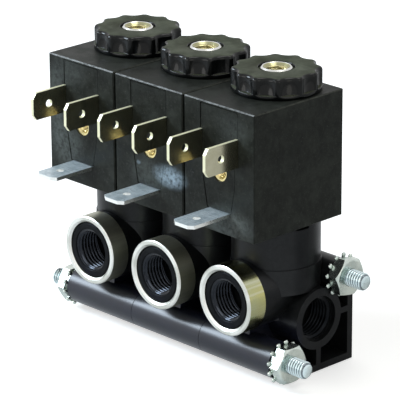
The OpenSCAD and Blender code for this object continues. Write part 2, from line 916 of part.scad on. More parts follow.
// Spring-steel washers with a ring of teeth that bite into the end bodies
module tooth_washers() {
    neck = 0.7;
    steps = 4;
    color(zinc)
        at_rod_ends(washer_angles)
            translate([0, 0, washer_x]) {
                difference() {
                    translate([0, 0, -washer_t / 2])
                        cylinder(r = washer_hub_r, h = washer_t);
                    translate([0, 0, -1])
                        cylinder(r = rod_r + rod_gap, h = 2);
                }
                for (i = [0 : washer_teeth - 1])
                    rotate([0, 0, 360 * i / washer_teeth]) {
                        translate([washer_hub_r - neck / 2, -neck / 2, -washer_t / 2])
                            cube([washer_tip_at - washer_hub_r + neck / 2, neck, washer_t]);
                        translate([washer_tip_at, 0, 0])
                            rotate_extrude($fn = 24)
                                polygon([for (k = [-steps : steps])
                                    [washer_tip_r * cos(90 * k / steps), washer_tip_t * sin(90 * k / steps)]]);
                    }
            }
}

at_valve(1) valve_body();  // valve_body_1
at_valve(2) valve_body();  // valve_body_2
at_valve(3) valve_body();  // valve_body_3
at_valve(1) port_ring();  // port_ring_1
at_valve(2) port_ring();  // port_ring_2
at_valve(3) port_ring();  // port_ring_3
at_valve(1) collar();  // collar_1
at_valve(2) collar();  // collar_2
at_valve(3) collar();  // collar_3
at_valve(1) guide_tube();  // guide_tube_1
at_valve(2) guide_tube();  // guide_tube_2
at_valve(3) guide_tube();  // guide_tube_3
at_valve(1) fixed_core();  // fixed_core_1
at_valve(2) fixed_core();  // fixed_core_2
at_valve(3) fixed_core();  // fixed_core_3
at_valve(1) plunger();  // plunger_1
at_valve(2) plunger();  // plunger_2
at_valve(3) plunger();  // plunger_3
at_valve(1) plunger_seals();  // plunger_seals_1
at_valve(2) plunger_seals();  // plunger_seals_2
at_valve(3) plunger_seals();  // plunger_seals_3
at_valve(1) plunger_spring();  // plunger_spring_1
at_valve(2) plunger_spring();  // plunger_spring_2
at_valve(3) plunger_spring();  // plunger_spring_3
at_valve(1) coil_cover();  // coil_cover_1
at_valve(2) coil_cover();  // coil_cover_2
at_valve(3) coil_cover();  // coil_cover_3
at_valve(1) bobbin();  // bobbin_1
at_valve(2) bobbin();  // bobbin_2
at_valve(3) bobbin();  // bobbin_3
at_valve(1) winding();  // winding_1
at_valve(2) winding();  // winding_2
at_valve(3) winding();  // winding_3
at_valve(1) yoke();  // yoke_1
at_valve(2) yoke();  // yoke_2
at_valve(3) yoke();  // yoke_3
at_valve(1) power_terminals();  // power_terminals_1
at_valve(2) power_terminals();  // power_terminals_2
at_valve(3) power_terminals();  // power_terminals_3
at_valve(1) earth_terminal();  // earth_terminal_1
at_valve(2) earth_terminal();  // earth_terminal_2
at_valve(3) earth_terminal();  // earth_terminal_3
at_valve(1) screw_insert();  // screw_insert_1
at_valve(2) screw_insert();  // screw_insert_2
at_valve(3) screw_insert();  // screw_insert_3
at_valve(1) knob_nut(knob_angles[0]);  // knob_nut_1
at_valve(2) knob_nut(knob_angles[1]);  // knob_nut_2
at_valve(3) knob_nut(knob_angles[2]);  // knob_nut_3
at_valve(1) knob_seal();  // knob_seal_1
at_valve(2) knob_seal();  // knob_seal_2
at_valve(3) knob_seal();  // knob_seal_3
tube_seals();
module_seals();
tie_rods();
lock_nuts();
tooth_washers();
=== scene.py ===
import math

import bmesh
import bpy
from mathutils import Matrix, Vector


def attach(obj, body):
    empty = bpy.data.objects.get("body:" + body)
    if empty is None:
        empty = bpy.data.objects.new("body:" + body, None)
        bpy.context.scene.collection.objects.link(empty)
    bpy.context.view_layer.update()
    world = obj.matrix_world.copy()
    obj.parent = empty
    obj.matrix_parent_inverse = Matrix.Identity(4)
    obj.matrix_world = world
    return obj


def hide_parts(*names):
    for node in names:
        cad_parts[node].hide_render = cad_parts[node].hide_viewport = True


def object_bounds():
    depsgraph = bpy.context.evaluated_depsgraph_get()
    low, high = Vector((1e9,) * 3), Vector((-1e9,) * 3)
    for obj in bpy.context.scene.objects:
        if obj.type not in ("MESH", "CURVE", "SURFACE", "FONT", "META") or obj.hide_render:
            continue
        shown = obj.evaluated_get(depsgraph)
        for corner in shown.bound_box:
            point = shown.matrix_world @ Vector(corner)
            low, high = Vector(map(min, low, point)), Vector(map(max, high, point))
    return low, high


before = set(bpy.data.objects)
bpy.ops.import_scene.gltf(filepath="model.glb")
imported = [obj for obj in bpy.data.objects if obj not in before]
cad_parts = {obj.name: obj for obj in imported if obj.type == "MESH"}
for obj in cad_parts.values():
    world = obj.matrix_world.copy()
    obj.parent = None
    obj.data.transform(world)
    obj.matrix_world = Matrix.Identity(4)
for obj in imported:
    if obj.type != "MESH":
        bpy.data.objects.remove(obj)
cad_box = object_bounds()

# Studio: the bank stands on a white sweep that the picture overexposes. A soft bluish lamp
# stands to its front left, weaker lamps are in front of it and above it, and little light
# reaches its right side.
MM = 0.001
FLOOR_SIZE = 3.0
FLOOR_DROP = 0.2 * MM
SHADOW_REACH = 0.15
FLOOR_FAR = 0.6
WHITE_TO_CAMERA = 0.6
WHITE_FAR_AWAY = 1.0
WHITE_TO_MIRRORS = 0.2
BANK_MIDDLE = Vector((0, 0, 35 * MM))


def link_or_set(tree, socket, value):
    """Links an input socket to an output socket, or sets it where a plain value is given."""
    if isinstance(value, bpy.types.NodeSocket):
        tree.links.new(value, socket)
    else:
        socket.default_value = value


def add_node(tree, kind, inputs=None, **settings):
    """Adds a node with its settings, and links or sets its inputs."""
    made = tree.nodes.new(kind)
    for key, value in settings.items():
        setattr(made, key, value)
    for socket, value in (inputs or {}).items():
        link_or_set(tree, made.inputs[socket], value)
    return made


def product(tree, first, second):
    """The product of two values, each a plain number or a socket."""
    return add_node(tree, "ShaderNodeMath", {0: first, 1: second}, operation="MULTIPLY").outputs[0]


def larger(tree, first, second):
    """The larger of two values."""
    return add_node(tree, "ShaderNodeMath", {0: first, 1: second}, operation="MAXIMUM").outputs[0]


def ramp(tree, value, low, high):
    """A smooth mask that is 0 at the low value and 1 at the high one, whichever is larger."""
    return add_node(tree, "ShaderNodeMapRange", {"Value": value, "From Min": low, "From Max": high},
                    interpolation_type="SMOOTHSTEP").outputs["Result"]


def blend_value(tree, mask, first, second):
    """The first value where the mask is 0, and the second where it is 1."""
    return add_node(tree, "ShaderNodeMix", {0: mask, 2: first, 3: second}, data_type="FLOAT").outputs[0]


def white_rays(tree):
    """Two masks: rays from the camera, and rays that metal or glass sends on."""
    path = add_node(tree, "ShaderNodeLightPath").outputs
    return path["Is Camera Ray"], larger(tree, path["Is Glossy Ray"], path["Is Transmission Ray"])


room = bpy.data.worlds.new("white_room")
bpy.context.scene.world = room
room.use_nodes = True
tree = room.node_tree
tree.nodes.clear()
dim = add_node(tree, "ShaderNodeBackground", {"Color": (0.92, 0.96, 1.0, 1), "Strength": 0.22})
white = add_node(tree, "ShaderNodeBackground", {"Color": (1, 1, 1, 1), "Strength": 1.0})
from_camera, mirrored = white_rays(tree)
shown = add_node(tree, "ShaderNodeMixShader", {0: larger(tree, from_camera, mirrored),
                                               1: dim.outputs[0], 2: white.outputs[0]})
add_node(tree, "ShaderNodeOutputWorld", {"Surface": shown.outputs[0]})

half = FLOOR_SIZE / 2
floor_mesh = bpy.data.meshes.new("white_floor")
floor_mesh.from_pydata([(-half, -half, 0), (half, -half, 0), (half, half, 0), (-half, half, 0)], [],
                       [(0, 1, 2, 3)])
floor = bpy.data.objects.new("white_floor", floor_mesh)
floor.location.z = -FLOOR_DROP
bpy.context.scene.collection.objects.link(floor)
paper = bpy.data.materials.new("white_paper")
paper.use_nodes = True
tree = paper.node_tree
sheet = tree.nodes["Principled BSDF"]
sheet.inputs["Base Color"].default_value = (0.70, 0.70, 0.69, 1)
sheet.inputs["Roughness"].default_value = 0.9
sheet.inputs["Emission Color"].default_value = (1, 1, 1, 1)
from_camera, mirrored = white_rays(tree)
place = add_node(tree, "ShaderNodeTexCoord").outputs["Object"]
away = add_node(tree, "ShaderNodeVectorMath", {0: place}, operation="LENGTH").outputs["Value"]
far = ramp(tree, away, SHADOW_REACH, FLOOR_FAR)
to_camera = product(tree, from_camera, blend_value(tree, far, WHITE_TO_CAMERA, WHITE_FAR_AWAY))
glow = larger(tree, to_camera, product(tree, mirrored, WHITE_TO_MIRRORS))
tree.links.new(glow, sheet.inputs["Emission Strength"])
floor_mesh.materials.append(paper)


def soft_lamp(name, direction, distance, size, watts, colour):
    """A round lamp that shines on the middle of the bank from a direction."""
    lamp = bpy.data.lights.new(name, "AREA")
    lamp.shape = "DISK"
    lamp.size = size
    lamp.energy = watts
    lamp.color = colour
    holder = bpy.data.objects.new(name, lamp)
    holder.location = BANK_MIDDLE + Vector(direction).normalized() * distance
    holder.rotation_euler = Vector(direction).to_track_quat("Z", "Y").to_euler()
    bpy.context.scene.collection.objects.link(holder)


soft_lamp("left_lamp", (-0.68, -0.52, 0.52), 0.8, 0.34, 6.6, (0.76, 0.88, 1.0))
soft_lamp("front_lamp", (-0.15, -0.90, 0.35), 0.9, 0.5, 1.6, (1.0, 0.98, 0.95))
soft_lamp("top_lamp", (0.1, 0.2, 1.0), 0.8, 0.5, 2.2, (1.0, 0.99, 0.94))
soft_lamp("right_lamp", (0.95, -0.25, 0.30), 0.9, 0.5, 0.7, (1.0, 0.98, 0.86))

# Camera: a long lens a little above the bank, off its front right-hand corner. It is moved
# aside and down without turning, so that the bank stands in the frame as in the photograph.
CAMERA_AZIMUTH = math.radians(46.124)
CAMERA_ELEVATION = math.radians(19.661)
CAMERA_ROLL = math.radians(-0.344)
CAMERA_DISTANCE = 662.695 * MM
CAMERA_AIM = Vector((0, 0, 63.8 * MM))
CAMERA_ASIDE = -1.261 * MM
CAMERA_BELOW = -29.593 * MM
SENSOR_WIDTH = 36
FOCAL_LENGTH = 269.5
FARTHEST_SEEN = 20
back = Vector((math.sin(CAMERA_AZIMUTH) * math.cos(CAMERA_ELEVATION),
               -math.cos(CAMERA_AZIMUTH) * math.cos(CAMERA_ELEVATION),
               math.sin(CAMERA_ELEVATION)))
level = Vector((0, 0, 1)).cross(back).normalized()
right = math.cos(CAMERA_ROLL) * level + math.sin(CAMERA_ROLL) * back.cross(level)
up = back.cross(right)
eye = CAMERA_AIM + CAMERA_DISTANCE * back + CAMERA_ASIDE * right + CAMERA_BELOW * up
lens = bpy.data.cameras.new("long_lens")
lens.sensor_width = SENSOR_WIDTH
lens.lens = FOCAL_LENGTH
lens.clip_end = FARTHEST_SEEN
camera = bpy.data.objects.new("camera", lens)
camera.matrix_world = Matrix.Translation(eye) @ Matrix((right, up, back)).transposed().to_4x4()
bpy.context.scene.collection.objects.link(camera)
bpy.context.scene.camera = camera
bpy.context.scene.view_settings.view_transform = "Standard"

# Valve bodies and collars: black glass-filled nylon, injection moulded. The bodies are clamped
# side by side, and a collar is screwed into each. The skin is slightly glossy, with a fine grain
# and grey handling marks, and dull in the mouths of the front ports and on the flat ends. A
# painted bluish highlight lies in the colour of the low front bar.
VALVES = (1, 2, 3)
VALVE_PITCH = 22 * MM
PORT_AXIS_Z = 18.65 * MM
DULL_PORT_RADIUS = 7.2 * MM
DULL_PORT_FRONT_Y = -13.0 * MM
BAR_TOP_Z = 10.0 * MM
BAR_BACK_Y = -4.0 * MM
BAR_GLOSS = 1.15
TOWER_GLOSS = 0.50
FLAT_END_GLOSS = 0.22
BODY_BLACK = (0.0034, 0.0038, 0.0040, 1)
BODY_GREY = (0.017, 0.0180, 0.0185, 1)
BAR_PAINTED_BLUE_SHEEN = (0.0075, 0.0088, 0.0180, 1)
BLUISH = (0.70, 0.80, 1.0, 1)


def effect_group(name, inputs, outputs):
    """Starts a shader node group with float, colour or vector sockets."""
    group = bpy.data.node_groups.new(name, "ShaderNodeTree")
    kinds = {"value": "NodeSocketFloat", "colour": "NodeSocketColor", "vector": "NodeSocketVector"}
    for socket, kind in inputs.items():
        group.interface.new_socket(name=socket, in_out="INPUT", socket_type=kinds[kind])
    for socket, kind in outputs.items():
        group.interface.new_socket(name=socket, in_out="OUTPUT", socket_type=kinds[kind])
    return group, group.nodes.new("NodeGroupInput").outputs, group.nodes.new("NodeGroupOutput").inputs


def blend_colour(tree, mask, first, second):
    """Mixes two colours, each a plain colour or a socket."""
    return add_node(tree, "ShaderNodeMix", {0: mask, 6: first, 7: second}, data_type="RGBA").outputs[2]


def noise(tree, place, scale, detail, roughness):
    """Noise between 0 and 1, finer with a larger scale."""
    return add_node(tree, "ShaderNodeTexNoise", {"Vector": place, "Scale": scale, "Detail": detail,
                                                 "Roughness": roughness}).outputs["Fac"]


def split(tree, vector):
    """The X, Y and Z sockets of a vector."""
    return add_node(tree, "ShaderNodeSeparateXYZ", {0: vector}).outputs


def faces_along(tree, facing, axis):
    """How squarely a surface faces along an axis, from either side: 0 to 1."""
    return add_node(tree, "ShaderNodeMath", {0: split(tree, facing)[axis]}, operation="ABSOLUTE").outputs[0]


moulded_skin, given, result = effect_group("moulded_skin", {"Place": "vector"},
                                           {"Cloud": "value", "Speck": "value", "Grain": "value"})
cloud = noise(moulded_skin, given["Place"], 260.0, 5.0, 0.65)
speck = noise(moulded_skin, given["Place"], 2600.0, 2.0, 0.5)
grain = noise(moulded_skin, given["Place"], 5200.0, 2.0, 0.6)
moulded_skin.links.new(ramp(moulded_skin, cloud, 0.35, 0.70), result["Cloud"])
moulded_skin.links.new(ramp(moulded_skin, speck, 0.66, 0.74), result["Speck"])
moulded_skin.links.new(grain, result["Grain"])

rubbed_edge, given, result = effect_group("rubbed_edge", {"Place": "vector", "Facing": "vector"},
                                          {"Mask": "value", "Edge": "value"})
straight = add_node(rubbed_edge, "ShaderNodeVectorMath", {0: given["Facing"]}, operation="ABSOLUTE")
parts = split(rubbed_edge, straight.outputs[0])
widest = larger(rubbed_edge, larger(rubbed_edge, parts["X"], parts["Y"]), parts["Z"])
slanted = add_node(rubbed_edge, "ShaderNodeMapRange",
                   {"Value": widest, "From Min": 0.93, "From Max": 0.80}).outputs["Result"]
broken = ramp(rubbed_edge, noise(rubbed_edge, given["Place"], 900.0, 4.0, 0.7), 0.30, 0.60)
rubbed_edge.links.new(product(rubbed_edge, slanted, broken), result["Mask"])
rubbed_edge.links.new(slanted, result["Edge"])


def finish_of(name):
    """A new material with its tree, its shader and the place on the piece."""
    material = bpy.data.materials.new(name)
    material.use_nodes = True
    tree = material.node_tree
    place = add_node(tree, "ShaderNodeTexCoord").outputs["Object"]
    return material, tree, tree.nodes["Principled BSDF"], place


def facing_of(tree):
    """The direction a surface faces, without its dents."""
    return add_node(tree, "ShaderNodeNewGeometry").outputs["True Normal"]


def placed(tree, group, **inputs):
    """Places an effect group in a material, and links or sets its inputs."""
    made = tree.nodes.new("ShaderNodeGroup")
    made.node_tree = group
    for socket, value in inputs.items():
        link_or_set(tree, made.inputs[socket], value)
    return made.outputs


def feed(tree, shader, **sockets):
    """Links or sets the shader's sockets, whose names are given with underscores."""
    for name, value in sockets.items():
        link_or_set(tree, shader.inputs[name.replace("_", " ")], value)


def dents(tree, shader, height, depth):
    """Feeds a height to the shader's normal; depth is in metres."""
    bump = add_node(tree, "ShaderNodeBump", {"Height": height, "Distance": depth, "Strength": 1.0})
    tree.links.new(bump.outputs["Normal"], shader.inputs["Normal"])


def dress(names, material):
    """Gives the named nodes of the frame one material."""
    for name in names:
        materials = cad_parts[name].data.materials
        materials.clear()
        materials.append(material)


def each(base):
    """The names of the three valves' pieces of one kind."""
    return [f"{base}_{n}" for n in VALVES]


def across(tree, place, other_axis, centre):
    """The distance from the nearest of the three valves' axes, whose other coordinate is given."""
    parts = split(tree, place)
    aside = add_node(tree, "ShaderNodeMath", {0: parts["X"], 1: VALVE_PITCH / 2, 2: -VALVE_PITCH / 2},
                     operation="WRAP")
    other = add_node(tree, "ShaderNodeMath", {0: parts[other_axis], 1: centre}, operation="SUBTRACT")
    both = add_node(tree, "ShaderNodeCombineXYZ", {"X": aside.outputs[0], "Y": other.outputs[0]})
    return add_node(tree, "ShaderNodeVectorMath", {0: both.outputs[0]}, operation="LENGTH").outputs["Value"]


for material_name, names, sheen in (("body_plastic", each("valve_body"), 0.78),
                                    ("collar_plastic", each("collar"), 0.72)):
    plastic, tree, shader, place = finish_of(material_name)
    facing = facing_of(tree)
    skin = placed(tree, moulded_skin, Place=place)
    edge = placed(tree, rubbed_edge, Place=place, Facing=facing)
    parts = split(tree, place)
    low_down = ramp(tree, parts["Z"], BAR_TOP_Z + 5 * MM, BAR_TOP_Z)
    ahead = ramp(tree, parts["Y"], BAR_BACK_Y + 2 * MM, BAR_BACK_Y)
    marked = larger(tree, product(tree, skin["Cloud"], 0.45), product(tree, skin["Speck"], 0.5))
    marked = larger(tree, marked, product(tree, edge["Mask"], 0.5))
    colour = blend_colour(tree, marked, BODY_BLACK, BODY_GREY)
    # Painted bluish highlight: the low front bar is tinted blue in soft clouds.
    painted_sheen_mask = product(tree, product(tree, low_down, ahead), blend_value(tree, skin["Cloud"], 0.6, 1.0))
    colour = blend_colour(tree, painted_sheen_mask, colour, BAR_PAINTED_BLUE_SHEEN)
    from_port = across(tree, place, "Z", PORT_AXIS_Z)
    beside_port = ramp(tree, from_port, DULL_PORT_RADIUS - 0.2 * MM, DULL_PORT_RADIUS)
    behind_port = ramp(tree, parts["Y"], DULL_PORT_FRONT_Y - 1 * MM, DULL_PORT_FRONT_Y)
    flat_end = ramp(tree, faces_along(tree, facing, "X"), 0.90, 0.995)
    gloss = blend_value(tree, low_down, TOWER_GLOSS, BAR_GLOSS)
    gloss = blend_value(tree, flat_end, gloss, FLAT_END_GLOSS)
    gloss = product(tree, gloss, larger(tree, beside_port, behind_port))
    feed(tree, shader, Base_Color=colour, Roughness=blend_value(tree, skin["Cloud"], 0.34, 0.44),
         Specular_IOR_Level=0.06, Specular_Tint=BLUISH,
         Coat_Weight=product(tree, gloss, sheen), Coat_Roughness=0.33)
    dents(tree, shader, skin["Grain"], 0.028 * MM)
    dress(names, plastic)

# Port threads: G1/8 threads moulded in the front and side ports, with rounded crests whose
# flanks catch the light. Each thread is a sleeve that lies on its port's wall.
G_PITCH = 0.907 * MM
G_ROOT = 4.87 * MM
G_DEPTH = 0.58 * MM
OUTLET_MOUTH_Y = -15.3 * MM
OUTLET_THREAD_LENGTH = 6.5 * MM
SUPPLY_AXIS_Y = 2.4 * MM
SUPPLY_AXIS_Z = 12.3 * MM
RIGHT_SUPPLY_MOUTH_X = 31.6 * MM
RIGHT_SUPPLY_THREAD_LENGTH = 5.8 * MM
LEFT_SUPPLY_MOUTH_X = -32.9 * MM
LEFT_SUPPLY_THREAD_LENGTH = 7.1 * MM


def valve_x(n):
    """The X of a valve's axes, counted from the left."""
    return (n - 2) * VALVE_PITCH


def groove_depth(turns):
    """How deep a rounded thread is cut at a number of turns: 0 on the crest, 1 at the root."""
    return 0.5 - 0.5 * math.cos(2 * math.pi * turns)


def pose_along(place, axis):
    """The matrix that sets a piece made along +Z at a place, along an axis."""
    return Matrix.Translation(Vector(place)) @ Vector(axis).to_track_quat("Z", "Y").to_matrix().to_4x4()


def mesh_piece(name, vertices, faces, body, slot, material, matrix=None):
    """A smooth piece with sharp corners, made from points and faces, that rides on a body."""
    mesh = bpy.data.meshes.new(name)
    mesh.from_pydata(vertices, [], faces)
    if matrix:
        mesh.transform(matrix)
    mesh.validate()
    work = bmesh.new()
    work.from_mesh(mesh)
    bmesh.ops.recalc_face_normals(work, faces=work.faces)
    work.to_mesh(mesh)
    work.free()
    mesh.materials.append(material)
    mesh.polygons.foreach_set("use_smooth", [True] * len(mesh.polygons))
    mesh.set_sharp_from_angle(angle=math.radians(50))
    piece = bpy.data.objects.new(name, mesh)
    bpy.context.scene.collection.objects.link(piece)
    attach(piece, body)
    return piece


def thread_sleeve(name, start, axis, length, root, depth, pitch, slot, material):
    """A thin sleeve in a bore. Its inner side is a thread that starts at the mouth and runs out."""
    around = 64
    steps = max(12, round(length / pitch * 10))
    lead_in = 0.25 * pitch
    run_out = 0.8 * pitch
    skin_gap = 0.01 * MM
    vertices = []
    for i in range(steps + 1):
        z = length * i / steps
        fade = min(1.0, z / lead_in, (length - z) / run_out)
        for k in range(around):
            crest = 1 - groove_depth(z / pitch - k / around)
            r = root - skin_gap - depth * crest * fade
            angle = 2 * math.pi * k / around
            vertices.append((r * math.cos(angle), r * math.sin(angle), z))
    outer = root + skin_gap
    for z in (0, length):
        for k in range(around):
            angle = 2 * math.pi * k / around
            vertices.append((outer * math.cos(angle), outer * math.sin(angle), z))
    faces = []
    for i in range(steps):
        near, far = i * around, (i + 1) * around
        for k in range(around):
            after = (k + 1) % around
            faces.append((near + k, near + after, far + after, far + k))
    last = steps * around
    low, high = last + around, last + 2 * around
    for k in range(around):
        after = (k + 1) % around
        faces.append((k, after, low + after, low + k))
        faces.append((last + k, last + after, high + after, high + k))
        faces.append((low + k, low + after, high + after, high + k))
    return mesh_piece(name, vertices, faces, "bank", slot, material, pose_along(start, axis))


def clouded_finish(name, first, second, smoothest, roughest, dent_depth, **plain):
    """A finish whose colour and roughness drift between two values over a fine grain."""
    material, tree, shader, place = finish_of(name)
    skin = placed(tree, moulded_skin, Place=place)
    feed(tree, shader, Base_Color=blend_colour(tree, skin["Cloud"], first, second),
         Roughness=blend_value(tree, skin["Cloud"], smoothest, roughest), **plain)
    dents(tree, shader, skin["Grain"], dent_depth)
    return material


outlet_thread_plastic = clouded_finish("outlet_thread_plastic", BODY_BLACK, BODY_GREY, 0.14, 0.20,
                                       0.004 * MM, Specular_IOR_Level=0.34, Specular_Tint=BLUISH)
supply_thread_plastic = clouded_finish("supply_thread_plastic", BODY_BLACK, BODY_GREY, 0.14, 0.20,
                                       0.004 * MM, Specular_IOR_Level=0.08, Specular_Tint=BLUISH)
for n in VALVES:
    thread_sleeve(f"outlet_thread_{n}", (valve_x(n), OUTLET_MOUTH_Y, PORT_AXIS_Z), (0, 1, 0),
                  OUTLET_THREAD_LENGTH, G_ROOT, G_DEPTH, G_PITCH, "body_plastic", outlet_thread_plastic)
thread_sleeve("supply_thread_right", (RIGHT_SUPPLY_MOUTH_X, SUPPLY_AXIS_Y, SUPPLY_AXIS_Z), (-1, 0, 0),
              RIGHT_SUPPLY_THREAD_LENGTH, G_ROOT, G_DEPTH, G_PITCH, "body_plastic", supply_thread_plastic)
thread_sleeve("supply_thread_left", (LEFT_SUPPLY_MOUTH_X, SUPPLY_AXIS_Y, SUPPLY_AXIS_Z), (1, 0, 0),
              LEFT_SUPPLY_THREAD_LENGTH, G_ROOT, G_DEPTH, G_PITCH, "body_plastic", supply_thread_plastic)

# Seals: black nitrile O-rings between the side ports, under the guide tubes' flanges and
# under the knob nuts, and rubber discs in the plungers. They are matt, with a moulding bloom.
rubber = clouded_finish("rubber", (0.008, 0.008, 0.008, 1), (0.022, 0.022, 0.022, 1), 0.5, 0.7,
                        0.004 * MM, Specular_IOR_Level=0.35)
dress(["module_seals", "tube_seals"] + each("plunger_seals") + each("knob_seal"), rubber)

# Port rings: turned steel bands pressed round the front ports. The front is faced bright, and
# the outside keeps fine turning lines and a yellowish passivation. On the right-hand ring a
# warm yellow reflection is painted into the colour of the outside.
RING_SIDE_PLAIN = ((0.47, 0.48, 0.38, 1), (0.50, 0.51, 0.43, 1))
RING_SIDE_PAINTED_WARM_REFLECTION = ((0.47, 0.45, 0.17, 1), (0.42, 0.44, 0.24, 1))
RING_RUBBED = (0.62, 0.63, 0.50, 1)
RING_LINE = (0.30, 0.29, 0.20, 1)
RING_FRONT = ((0.80, 0.81, 0.77, 1), (0.60, 0.61, 0.56, 1))


def stretched(tree, place, scale):
    """A place scaled along each axis, which draws out a pattern laid on it."""
    return add_node(tree, "ShaderNodeVectorMath", {0: place, 1: scale}, operation="MULTIPLY").outputs[0]


turned_lines, given, result = effect_group("turned_lines",
                                           {"Along": "value", "Place": "vector", "Lines": "value"},
                                           {"Line": "value", "Patch": "value", "Broad": "value"})
across_lines = add_node(turned_lines, "ShaderNodeCombineXYZ", {"X": given["Along"]}).outputs[0]
patch = noise(turned_lines, given["Place"], 420.0, 4.0, 0.6)
broad = noise(turned_lines, given["Place"], 130.0, 2.0, 0.5)
turned_lines.links.new(noise(turned_lines, across_lines, given["Lines"], 3.0, 0.7), result["Line"])
turned_lines.links.new(ramp(turned_lines, patch, 0.35, 0.70), result["Patch"])
turned_lines.links.new(ramp(turned_lines, broad, 0.40, 0.62), result["Broad"])

ring_steel, tree, shader, place = finish_of("ring_steel")
parts = split(tree, place)
turned = placed(tree, turned_lines, Along=parts["Y"], Place=place, Lines=7000.0)
front = ramp(tree, split(tree, facing_of(tree))["Y"], -0.30, -0.60)
# Painted reflection: the right-hand ring's outside takes a warm yellow colour, and is smoother.
golden = ramp(tree, parts["X"], 0.5 * VALVE_PITCH, 0.7 * VALVE_PITCH)
side = blend_colour(tree, golden, blend_colour(tree, turned["Broad"], *RING_SIDE_PLAIN),
                    blend_colour(tree, turned["Broad"], *RING_SIDE_PAINTED_WARM_REFLECTION))
rubbed = noise(tree, stretched(tree, place, (1100.0, 40.0, 1100.0)), 1.0, 2.0, 0.5)
side = blend_colour(tree, product(tree, ramp(tree, rubbed, 0.42, 0.66), 0.6), side, RING_RUBBED)
side = blend_colour(tree, product(tree, turned["Line"], 0.4), side, RING_LINE)
faced = blend_colour(tree, turned["Broad"], *RING_FRONT)
feed(tree, shader, Base_Color=blend_colour(tree, front, side, faced), Metallic=1.0,
     Roughness=blend_value(tree, front, blend_value(tree, golden, 0.42, 0.22), 0.36))
dents(tree, shader, turned["Line"], 0.004 * MM)
dress(each("port_ring"), ring_steel)

# Guide tubes, plungers and cores: turned and drawn stainless steel. Each core's end shows in
# its knob nut: a bright rim round the M5 exhaust thread, which has a golden chromate colour.
MOUTH_RADIUS = 3.05 * MM
M5_PITCH = 0.8 * MM
M5_ROOT = 2.5 * MM
M5_DEPTH = 0.43 * MM
EXHAUST_MOUTH_Z = 68.12 * MM
EXHAUST_THREAD_LENGTH = 5.3 * MM

stainless, tree, shader, place = finish_of("stainless")
turned = placed(tree, turned_lines, Along=split(tree, place)["Z"], Place=place, Lines=6000.0)
bright = blend_colour(tree, turned["Patch"], (0.72, 0.72, 0.70, 1), (0.58, 0.58, 0.55, 1))
in_mouth = ramp(tree, across(tree, place, "Y", 0.0), MOUTH_RADIUS, MOUTH_RADIUS - 0.1 * MM)
feed(tree, shader, Base_Color=blend_colour(tree, in_mouth, bright, (0.34, 0.33, 0.19, 1)),
     Metallic=1.0, Roughness=blend_value(tree, turned["Patch"], 0.16, 0.28))
dents(tree, shader, turned["Line"], 0.003 * MM)
dress(each("guide_tube") + each("plunger") + each("fixed_core"), stainless)

gold_thread = clouded_finish("gold_thread", (0.52, 0.47, 0.25, 1), (0.40, 0.37, 0.22, 1), 0.18, 0.30,
                             0.004 * MM, Metallic=1.0)
for n in VALVES:
    thread_sleeve(f"exhaust_thread_{n}", (valve_x(n), 0, EXHAUST_MOUTH_Z), (0, 0, -1),
                  EXHAUST_THREAD_LENGTH, M5_ROOT, M5_DEPTH, M5_PITCH, "stainless", gold_thread)

# Return springs: drawn stainless wire, coiled, between each plunger's head and the shoulder
# of its guide tube. Drawing leaves the wire slightly dull.
spring_wire = clouded_finish("spring_wire", (0.62, 0.62, 0.60, 1), (0.48, 0.48, 0.47, 1), 0.22, 0.36,
                             0.003 * MM, Metallic=1.0)
dress(each("plunger_spring"), spring_wire)

# Windings: enamelled copper wire in even layers on each bobbin, every turn a fine ridge
# under the clear enamel.
WIRE_PITCH = 0.16 * MM
copper_wire, tree, shader, place = finish_of("copper_wire")
turn = product(tree, split(tree, place)["Z"], 2 * math.pi / WIRE_PITCH)
ridge = add_node(tree, "ShaderNodeMath", {0: turn}, operation="SINE").outputs[0]
skin = placed(tree, moulded_skin, Place=place)
feed(tree, shader, Base_Color=blend_colour(tree, skin["Cloud"], (0.60, 0.22, 0.08, 1), (0.45, 0.15, 0.05, 1)),
     Metallic=0.8, Roughness=0.3, Coat_Weight=0.4)
dents(tree, shader, ridge, 0.03 * MM)
dress(each("winding"), copper_wire)

# Yokes: one zinc-plated steel strip each, bent round the winding and moulded in with it. The
# plating is dull and slightly spangled.
yoke_steel = clouded_finish("yoke_steel", (0.58, 0.60, 0.60, 1), (0.44, 0.45, 0.44, 1), 0.30, 0.48,
                            0.006 * MM, Metallic=1.0)
dress(each("yoke"), yoke_steel)

# Coils: a dark glass-filled moulding round each winding, and the bobbin's carrier let into
# its front. The skin is matt, cloudy and dusty, with lighter patches on the fronts and a chalky
# smudge on the middle one. Edges that face upward are lighter, partly wear and partly a painted
# highlight, and the tops carry painted shade.
COIL_DARK = (0.0068, 0.0080, 0.0066, 1)
COIL_CLOUD = (0.030, 0.034, 0.029, 1)
COIL_DUST_AND_EDGE_HIGHLIGHT = (0.050, 0.054, 0.046, 1)
CHALK = (0.30, 0.39, 0.46, 1)
LIGHTER_PATCH = (0.25, 0.285, 0.275, 1)
# The lighter patches lighten the fronts in soft, broken clouds.
# Each mark has its middle and its spread in millimetres, its strength and its colour.
MARKS = (((6.6, -17.5, 43.8), (6.6, 2.0, 3.3), 1.0, CHALK),
         ((-3.4, -17.5, 44.8), (0.9, 1.0, 0.7), 0.5, CHALK),
         ((0.0, -17.5, 42.5), (9.0, 2.0, 6.0), 0.16, LIGHTER_PATCH),
         ((-26.0, -17.5, 60.0), (7.0, 2.0, 6.0), 0.10, LIGHTER_PATCH),
         ((-27.0, -17.5, 43.0), (7.0, 2.0, 7.0), 0.22, LIGHTER_PATCH),
         ((-30.5, -17.5, 52.0), (3.6, 2.0, 13.0), 0.22, LIGHTER_PATCH),
         ((25.0, -17.5, 37.5), (10.0, 2.0, 5.0), 0.30, LIGHTER_PATCH),
         ((26.0, -17.5, 59.0), (7.0, 2.0, 4.5), 0.10, LIGHTER_PATCH))

